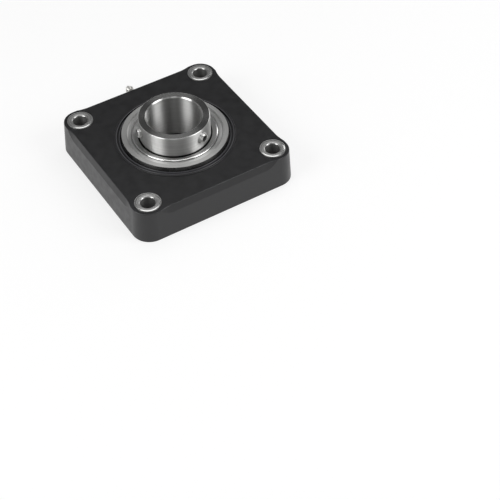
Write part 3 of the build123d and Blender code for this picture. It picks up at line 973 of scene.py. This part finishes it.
class BEARING_OT_set_stage(bpy.types.Operator):
    """Set up the camera, the lights and the floor"""

    bl_idname = "bearing.set_stage"
    bl_label = "Set Stage"
    bl_options = {"REGISTER", "UNDO"}

    def execute(self, context):
        stage = context.scene.bearing_stage
        self.add_camera(context, stage)
        self.add_floor(context, stage)
        side = (stage.side_elevation, stage.side_width, stage.side_height)
        rear = (stage.rear_elevation, stage.rear_width, stage.rear_width)
        front = (stage.front_elevation, stage.front_width, stage.front_width)
        top = (stage.top_elevation, stage.top_width, stage.top_width)
        self.add_softbox(context, stage, "left_softbox", stage.left_power, stage.left_azimuth, *side)
        self.add_softbox(context, stage, "right_softbox", stage.right_power, stage.right_azimuth, *side)
        self.add_softbox(context, stage, "rear_softbox", stage.rear_power, stage.rear_azimuth, *rear)
        self.add_softbox(context, stage, "front_softbox", stage.front_power, stage.azimuth, *front)
        self.add_softbox(context, stage, "top_softbox", stage.top_power, stage.top_azimuth, *top)
        self.add_surroundings(context, stage)
        context.scene.view_settings.view_transform = "Standard"
        return {"FINISHED"}

    def add_camera(self, context, stage):
        """The camera looks down at the target, turned a little round its line of sight."""
        data = bpy.data.cameras.new("camera")
        data.lens = stage.lens
        data.clip_start = NEAREST_SEEN
        camera = bpy.data.objects.new("camera", data)
        sight = direction_to(stage.azimuth, stage.elevation)
        camera.location = Vector(stage.target) + sight * stage.distance
        turn = (-sight).to_track_quat("-Z", "Y") @ Quaternion(UP, stage.roll)
        camera.rotation_euler = turn.to_euler()
        context.scene.collection.objects.link(camera)
        context.scene.camera = camera

    def add_floor(self, context, stage):
        """A wide pale floor, lit a little from below, like a light table, but not under the unit."""
        material = new_material("Pale floor", stage.floor_colour)
        place = vector_from(material, "ABSOLUTE", object_coordinates(material))
        parts = add_node(material, "ShaderNodeSeparateXYZ", {"Vector": place}).outputs
        distance = calculated(material, "MAXIMUM", parts["X"], parts["Y"])
        limits = (stage.floor_shade, stage.floor_shade * FLOOR_FADE)
        join(material, {"Emission Strength": spread(material, distance, 0, stage.floor_glow, *limits)})
        shader = shader_of(material)
        shader.inputs["Roughness"].default_value = FLOOR_ROUGHNESS
        shader.inputs["Emission Color"].default_value = (1, 1, 1, 1)
        shape = bmesh.new()
        bmesh.ops.create_grid(shape, x_segments=1, y_segments=1, size=FLOOR_HALF_WIDTH)
        mesh = bpy.data.meshes.new("floor")
        shape.to_mesh(mesh)
        shape.free()
        mesh.materials.append(material)
        floor = bpy.data.objects.new("floor", mesh)
        context.scene.collection.objects.link(floor)

    def add_softbox(self, context, stage, name, power, azimuth, elevation, width, height):
        """A softbox aimed at the unit."""
        data = bpy.data.lights.new(name, "AREA")
        data.shape = "RECTANGLE"
        data.size = width
        data.size_y = height
        data.energy = power
        light = bpy.data.objects.new(name, data)
        sight = direction_to(azimuth, elevation)
        light.location = SEAT_CENTRE + sight * stage.light_distance
        light.rotation_euler = (-sight).to_track_quat("-Z", "Y").to_euler()
        context.scene.collection.objects.link(light)

    def add_surroundings(self, context, stage):
        """Plain grey surroundings."""
        world = bpy.data.worlds.new("surroundings")
        world.use_nodes = True
        background = world.node_tree.nodes["Background"]
        background.inputs["Color"].default_value = (1, 1, 1, 1)
        background.inputs["Strength"].default_value = stage.sky
        context.scene.world = world


def direction_to(azimuth, elevation):
    """Direction from the unit to a camera or light, from its angles in radians."""
    level = math.cos(elevation)
    return Vector((level * math.cos(azimuth), level * math.sin(azimuth), math.sin(elevation)))


OPERATORS = (
    BEARING_OT_finish_housing,
    BEARING_OT_finish_sleeves,
    BEARING_OT_finish_rings,
    BEARING_OT_finish_balls,
    BEARING_OT_make_screws,
    BEARING_OT_make_fitting,
    BEARING_OT_set_stage,
)


class BEARING_PT_panel(bpy.types.Panel):
    """Lists the steps that dress the bearing unit"""

    bl_idname = "BEARING_PT_panel"
    bl_label = "Bearing Unit"
    bl_space_type = "VIEW_3D"
    bl_region_type = "UI"
    bl_category = "Bearing Unit"

    def draw(self, context):
        for operator in OPERATORS:
            self.layout.operator(operator.bl_idname)
        for attribute, group in PROPERTIES.items():
            box = self.layout.box()
            for name in group.__annotations__:
                box.prop(getattr(context.scene, attribute), name)


def register():
    """Registers the properties, the operators and the panel."""
    for attribute, group in PROPERTIES.items():
        bpy.utils.register_class(group)
        setattr(bpy.types.Scene, attribute, PointerProperty(type=group))
    for cls in (*OPERATORS, BEARING_PT_panel):
        bpy.utils.register_class(cls)


def unregister():
    """Takes them away again."""
    for cls in (BEARING_PT_panel, *reversed(OPERATORS)):
        bpy.utils.unregister_class(cls)
    for attribute, group in PROPERTIES.items():
        delattr(bpy.types.Scene, attribute)
        bpy.utils.unregister_class(group)


def main():
    """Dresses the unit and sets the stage."""
    register()
    for operator in OPERATORS:
        group, action = operator.bl_idname.split(".")
        getattr(getattr(bpy.ops, group), action)()
    bpy.context.view_layer.update()


if __name__ == "__main__":
    main()
